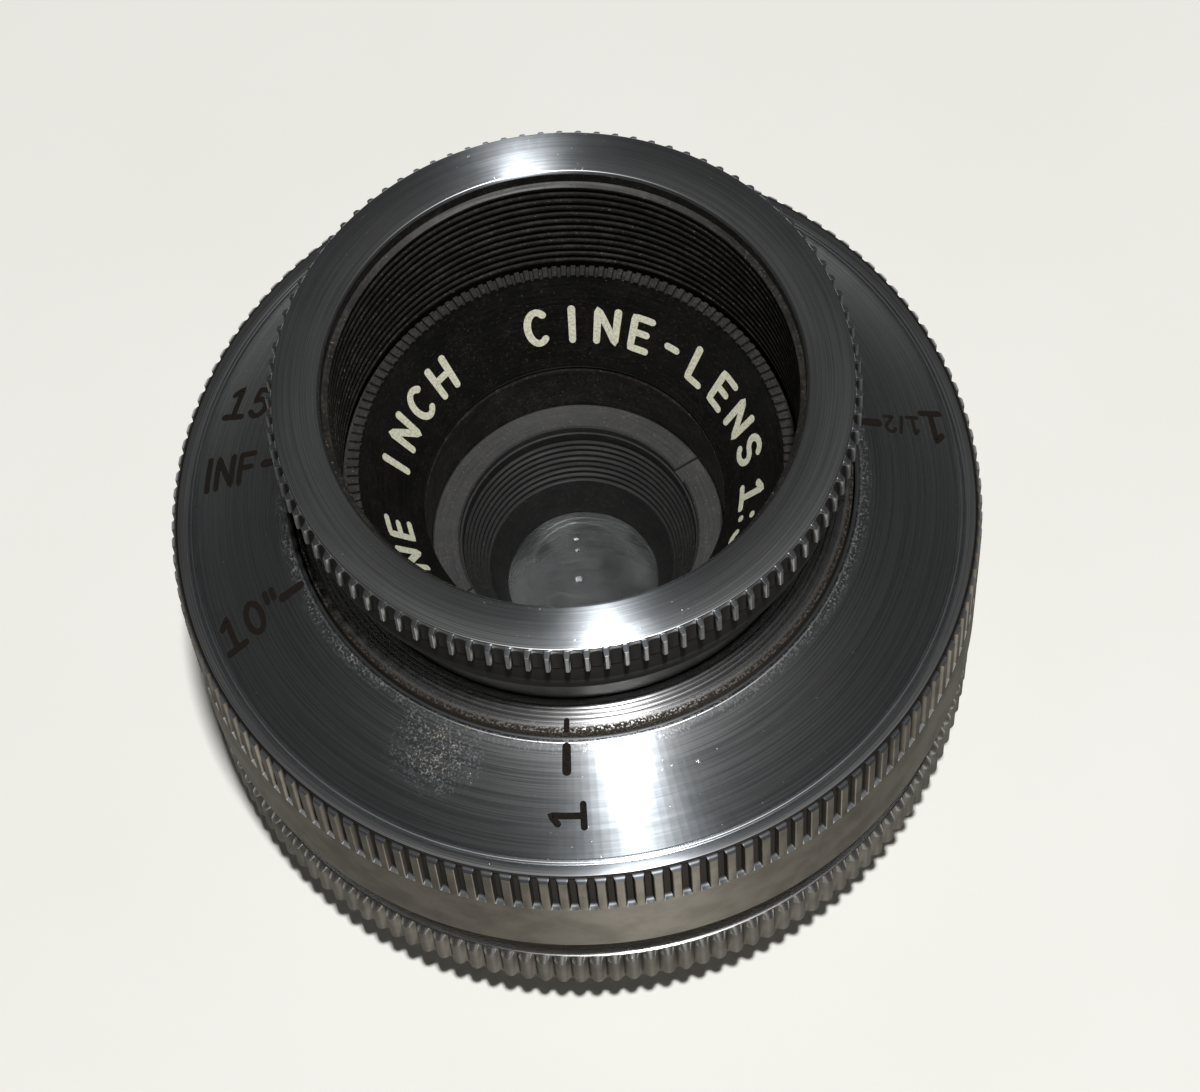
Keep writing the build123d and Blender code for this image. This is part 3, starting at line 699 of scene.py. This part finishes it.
# middle radius of the labels, and how much shorter a length on the cone is seen from above
SCALE_MIDDLE = 16.25
CONE_SHRINK = 0.86
FRACTION_GAP = 0.3
SIGN_SPACING = 0.32
LABEL_HEIGHT = 1.5
LABEL_STROKE = 0.31
FRACTION_HEIGHT = 0.85
FRACTION_STROKE = 0.18
TICK_STROKE = 0.4
vertices, faces = [], []
for label, fraction, turn in DISTANCES:
    angle = INDEX_ANGLE + ANGLE_AT_ONE_FOOT - turn
    tick = on_cone(CONE_TOP, CONE_FOOT, 13.98, angle, 0)
    inlay([[(0, -0.5), (0, 0.62)]], TICK_STROKE, tick, vertices, faces)
    parts = [
        (*text_strokes(text, height, SIGN_SPACING), stroke)
        for text, height, stroke in (
            (fraction, FRACTION_HEIGHT, FRACTION_STROKE),
            (label, LABEL_HEIGHT, LABEL_STROKE),
        )
        if text
    ]
    length = sum(width for _, width, _ in parts) + FRACTION_GAP * (len(parts) - 1)
    reach = SCALE_MIDDLE - length * CONE_SHRINK / 2
    for strokes, width, stroke in parts:
        sign = on_cone(CONE_TOP, CONE_FOOT, reach + width / 2 * CONE_SHRINK, angle, -90)
        inlay(strokes, stroke, sign, vertices, faces)
        reach += (width + FRACTION_GAP) * CONE_SHRINK
scale = finished_mesh("distance_scale", vertices, faces)
dress(scale, BLACK_FILL, "focus_ring", "ring_metal")

# ---------------------------------------------------------------- barrel

# (radius, depth) of the turning marks on the shoulder
SHOULDER_GROOVES = ((12.56, 0.07), (12.3, 0.04), (12.08, 0.05), (11.86, 0.03), (11.66, 0.04))
shoulder = [(SHOULDER_OUTER, SHOULDER_TOP - 0.1), (SHOULDER_OUTER - 0.1, SHOULDER_TOP)]
for groove, depth in SHOULDER_GROOVES:
    shoulder += [
        (groove + 0.07, SHOULDER_TOP),
        (groove, SHOULDER_TOP - depth),
        (groove - 0.05, SHOULDER_TOP),
    ]
barrel_profile = softened(
    [
        (9.6, -0.95), (10.95, -0.95), (10.95, 3.2), (12.0, 3.2), (12.0, 12.55), (14.6, 12.55),
        (14.6, 13.35), (SHOULDER_OUTER, 13.35), *shoulder,
        (SHOULDER_INNER, SHOULDER_TOP), (SHOULDER_INNER, 16.8),
        (9.35, 16.8), (9.35, 14.4), (8.05, 14.4), (8.05, 13.0), (11.1, 13.0), (11.1, 3.4),
        (10.2, 3.4), (10.2, 1.4), (5.5, 1.4), (5.5, 0.5), (9.6, 0.5),
    ],
    0.02,
)
barrel = turned("main_barrel", barrel_profile)
dress(barrel, NECK_METAL, "barrel", "barrel_metal", "barrel",
      inner=(INNER_BLACK, lambda r, z: r < SHOULDER_INNER))

vertices, faces = [], []
shoulder_inner_edge = (SHOULDER_INNER, SHOULDER_TOP)
shoulder_outer_edge = (SHOULDER_OUTER, SHOULDER_TOP)
index_place = on_cone(shoulder_inner_edge, shoulder_outer_edge, 12.7, INDEX_ANGLE, 0)
inlay([[(0, -0.28), (0, 0.14)]], 0.26, index_place, vertices, faces)
index_line = finished_mesh("index_line", vertices, faces)
dress(index_line, BLACK_FILL, "barrel", "barrel_metal")

# ---------------------------------------------------------------- inside the hood

name_profile = softened(
    [
        NAME_FACE_INNER,
        NAME_FACE_OUTER,
        (9.8, 18.24, 0, -1),
        (10.33, 18.24, 0, -1),
        (10.35, 17.24),
        (9.5, 17.24),
        (9.5, 16.84),
        (9.3, 16.84),
        (9.3, 14.92),
        (7.56, 14.92),
        (7.56, 14.2),
        (7.05, 14.2),
    ]
)
RIB = [(0, 0), (0.5, 0), (0.6, 1), (0.9, 1)]
name_ring = turned("name_ring_face", name_profile, (NAME_RIBS, RIB_CUT, RIB))
dress(name_ring, NAME_BLACK, "barrel", "name_ring_black", "name_ring",
      inner=(RIB_BLACK, lambda r, z: r > 9.78))


NAME_RADIUS = 8.32
NAME_HEIGHT = 1.6
NAME_STROKE = 0.35
# (words, angle of the first sign, angle from sign to sign)
NAME_WORDS = (("CINE-LENS", 103, 11.5), ("1:3.5", -4.5, 8.0), ("ONE INCH", 220, 11.6))
vertices, faces = [], []
for words, angle, pitch in NAME_WORDS:
    for sign in words:
        strokes, _ = text_strokes(sign, NAME_HEIGHT, 0)
        place = on_cone(NAME_FACE_INNER, NAME_FACE_OUTER, NAME_RADIUS, angle, 0)
        inlay(strokes, NAME_STROKE, place, vertices, faces)
        angle -= pitch
lettering = finished_mesh("name_ring_lettering", vertices, faces)
dress(lettering, CREAM, "barrel", "name_ring_black")

cell_profile = softened(
    [
        (3.35, 2.75), (6.8, 2.75), (6.8, 9.0), (8.0, 9.0), (8.0, 14.42), (9.3, 14.42), (9.3, 14.9),
        (7.6, 14.9), (7.6, 14.1), (7.25, 14.1), (7.0, 13.85), (7.0, 9.6), (6.2, 9.6), (6.2, 5.5),
        (4.35, 5.5), (4.35, 4.1), (3.95, 4.1), (3.95, 3.05), (3.35, 3.05),
    ]
)
cell = turned("optics_cell_body", cell_profile)
dress(cell, INNER_BLACK, "barrel", "black_anodised", "optics_cell",
      inner=(BORE_BLACK, lambda r, z: r < 4.4))

BAFFLE_STEPS = 8
BAFFLE_MOUTH = 5.55
BAFFLE_TOP = 9.75
BAFFLE_NARROWING = 1.1
BAFFLE_DEPTH = 2.45
steps = []
for step in range(BAFFLE_STEPS):
    radius = BAFFLE_MOUTH - BAFFLE_NARROWING * step / BAFFLE_STEPS
    next_radius = BAFFLE_MOUTH - BAFFLE_NARROWING * (step + 1) / BAFFLE_STEPS
    next_height = BAFFLE_TOP - BAFFLE_DEPTH * (step + 1) / BAFFLE_STEPS
    steps += [(radius, next_height + 0.05), (next_radius, next_height)]
baffle_profile = softened(
    [
        (6.9, 10.08), (5.6, 10.08), (BAFFLE_MOUTH, BAFFLE_TOP), *steps, (3.67, 5.6), (3.67, 5.38),
        (4.28, 5.38), (4.28, 5.53), (6.1, 5.53), (6.15, 5.7), (6.15, 9.62), (6.9, 9.62),
    ],
    0.015,
)
baffle = turned("stepped_baffle", baffle_profile)
dress(baffle, BORE_BLACK, "barrel", "black_anodised", "front_baffle")


def sagged(rim_radius, vertex, rim, parts=16):
    """Profile points of a spherical surface from the axis to its rim."""
    sag = vertex - rim
    ball = (rim_radius**2 + sag**2) / (2 * sag)
    radii = [rim_radius * part / parts for part in range(parts + 1)]
    return [(r, vertex - ball + sqrt(ball**2 - r * r)) for r in radii]


GLASS_APERTURE = 3.8
GLASS_RADIUS = 4.3
FRONT_RIM = 5.36
FRONT_VERTEX = 6.25
REAR_RIM = 5.12
REAR_SAG = 0.29
front_face = sagged(GLASS_APERTURE, FRONT_VERTEX, FRONT_RIM)
rear_face = [(r, REAR_RIM - z) for r, z in sagged(GLASS_APERTURE, REAR_SAG, 0)]
glass_rim = [(GLASS_RADIUS, FRONT_RIM), (GLASS_RADIUS, REAR_RIM)]
glass_profile = [*front_face, *glass_rim, *reversed(rear_face)]
front_glass = turned("front_glass", glass_profile)
dress(front_glass, GLASS, "barrel", "lens_glass", "front_element")

# ---------------------------------------------------------------- mount

mount_profile = softened(
    [
        (11.05, -3.8),
        (12.21, -3.8),
        *ridges(12.7, 12.21, -3.72, -0.5, THREAD_PITCH),
        (12.1, -0.3),
        (12.1, 0.3),
        (12.9, 0.3),
        (12.9, 0),
        (FLANGE_RADIUS - 0.35, 0),
        (FLANGE_RADIUS, 0.3, -1, 0),
        (FLANGE_RADIUS, 2.7, -1, 0),
        (FLANGE_RADIUS - 0.35, 3.05),
        (18.3, 3.07),
        (14.4, 3.07),
        (14.4, 8.8),
        (12.06, 8.8),
        (12.06, 0.6),
        (11.05, 0.6),
    ]
)
mount = turned("rear_mount", mount_profile, (FLANGE_TEETH, FLANGE_CUT, ROUND_TOOTH))
dress(mount, REAR_METAL, "mount", "rear_metal", "mount_body")

# ---------------------------------------------------------------- carried-over CAD pieces

SLOT_MATERIALS = {
    "rear_metal": REAR_METAL,
    "barrel_metal": NECK_METAL,
    "ring_metal": RING_METAL,
    "hood_metal": HOOD_METAL,
    "name_ring_black": NAME_BLACK,
    "black_anodised": INNER_BLACK,
    "grey_anodised": CELL_GREY,
    "lens_glass": GLASS,
    "bronze": BRONZE,
    "steel_small": STEEL,
    "blade_steel": BLADE,
}
for subpart in frame["record"]["subparts"]:
    node = frame["nodes"][subpart["node"]]
    node.data.materials.clear()
    node.data.materials.append(SLOT_MATERIALS[subpart["material_slot"]])

# ---------------------------------------------------------------- floor, light, camera

FLOOR_REACH = 1.5
corner_signs = ((-1, -1), (1, -1), (1, 1), (-1, 1))
floor_corners = [(x * FLOOR_REACH, y * FLOOR_REACH, 0) for x, y in corner_signs]
floor_mesh = bpy.data.meshes.new("floor")
floor_mesh.from_pydata(floor_corners, [], [(0, 1, 2, 3)])
floor = bpy.data.objects.new("floor", floor_mesh)
bpy.context.scene.collection.objects.link(floor)
pale = Graph("pale_floor")
pale_tone = pale.mix(pale.noise(0.05, 3.0), (0.73, 0.72, 0.67), (0.78, 0.77, 0.73))
pale.link(pale_tone, pale.shader.inputs["Base Color"])
pale.shader.inputs["Roughness"].default_value = 0.6
floor_mesh.materials.append(pale.material)

# one oblong lamp that shines at the middle of the lens
lamp_data = bpy.data.lights.new("key", "AREA")
lamp_data.shape = "RECTANGLE"
lamp_data.size, lamp_data.size_y = LAMP_SIZE
lamp_data.energy = LAMP_POWER
lamp = bpy.data.objects.new("key", lamp_data)
lamp_way = Vector(LAMP_DIRECTION).normalized()
lamp.location = lamp_way * LAMP_DISTANCE + Vector(LAMP_AIM)
lamp.rotation_euler = lamp_way.to_track_quat("Z", "Y").to_euler()
bpy.context.scene.collection.objects.link(lamp)

world = bpy.data.worlds.new("studio")
world.use_nodes = True
sky = world.node_tree.nodes["Background"]
sky.inputs["Color"].default_value = (1.0, 0.98, 0.95, 1.0)
sky.inputs["Strength"].default_value = WORLD_STRENGTH
bpy.context.scene.world = world
bpy.context.scene.view_settings.view_transform = "Standard"

azimuth = radians(CAMERA_AZIMUTH)
elevation = radians(CAMERA_ELEVATION)
back = Vector((sin(azimuth) * cos(elevation), -cos(azimuth) * cos(elevation), sin(elevation)))
camera_data = bpy.data.cameras.new("camera")
camera_data.lens = CAMERA_LENS
camera_data.sensor_width = 36
camera_data.clip_start = 0.01
camera = bpy.data.objects.new("camera", camera_data)
roll = Matrix.Rotation(radians(CAMERA_ROLL), 4, "Z")
turn = back.to_track_quat("Z", "Y").to_matrix().to_4x4() @ roll
aim = Vector(CAMERA_AIM) * MM + Vector((0, 0, SEAT * MM))
camera.matrix_world = Matrix.Translation(aim + back * CAMERA_DISTANCE * MM) @ turn
bpy.context.scene.collection.objects.link(camera)
bpy.context.scene.camera = camera
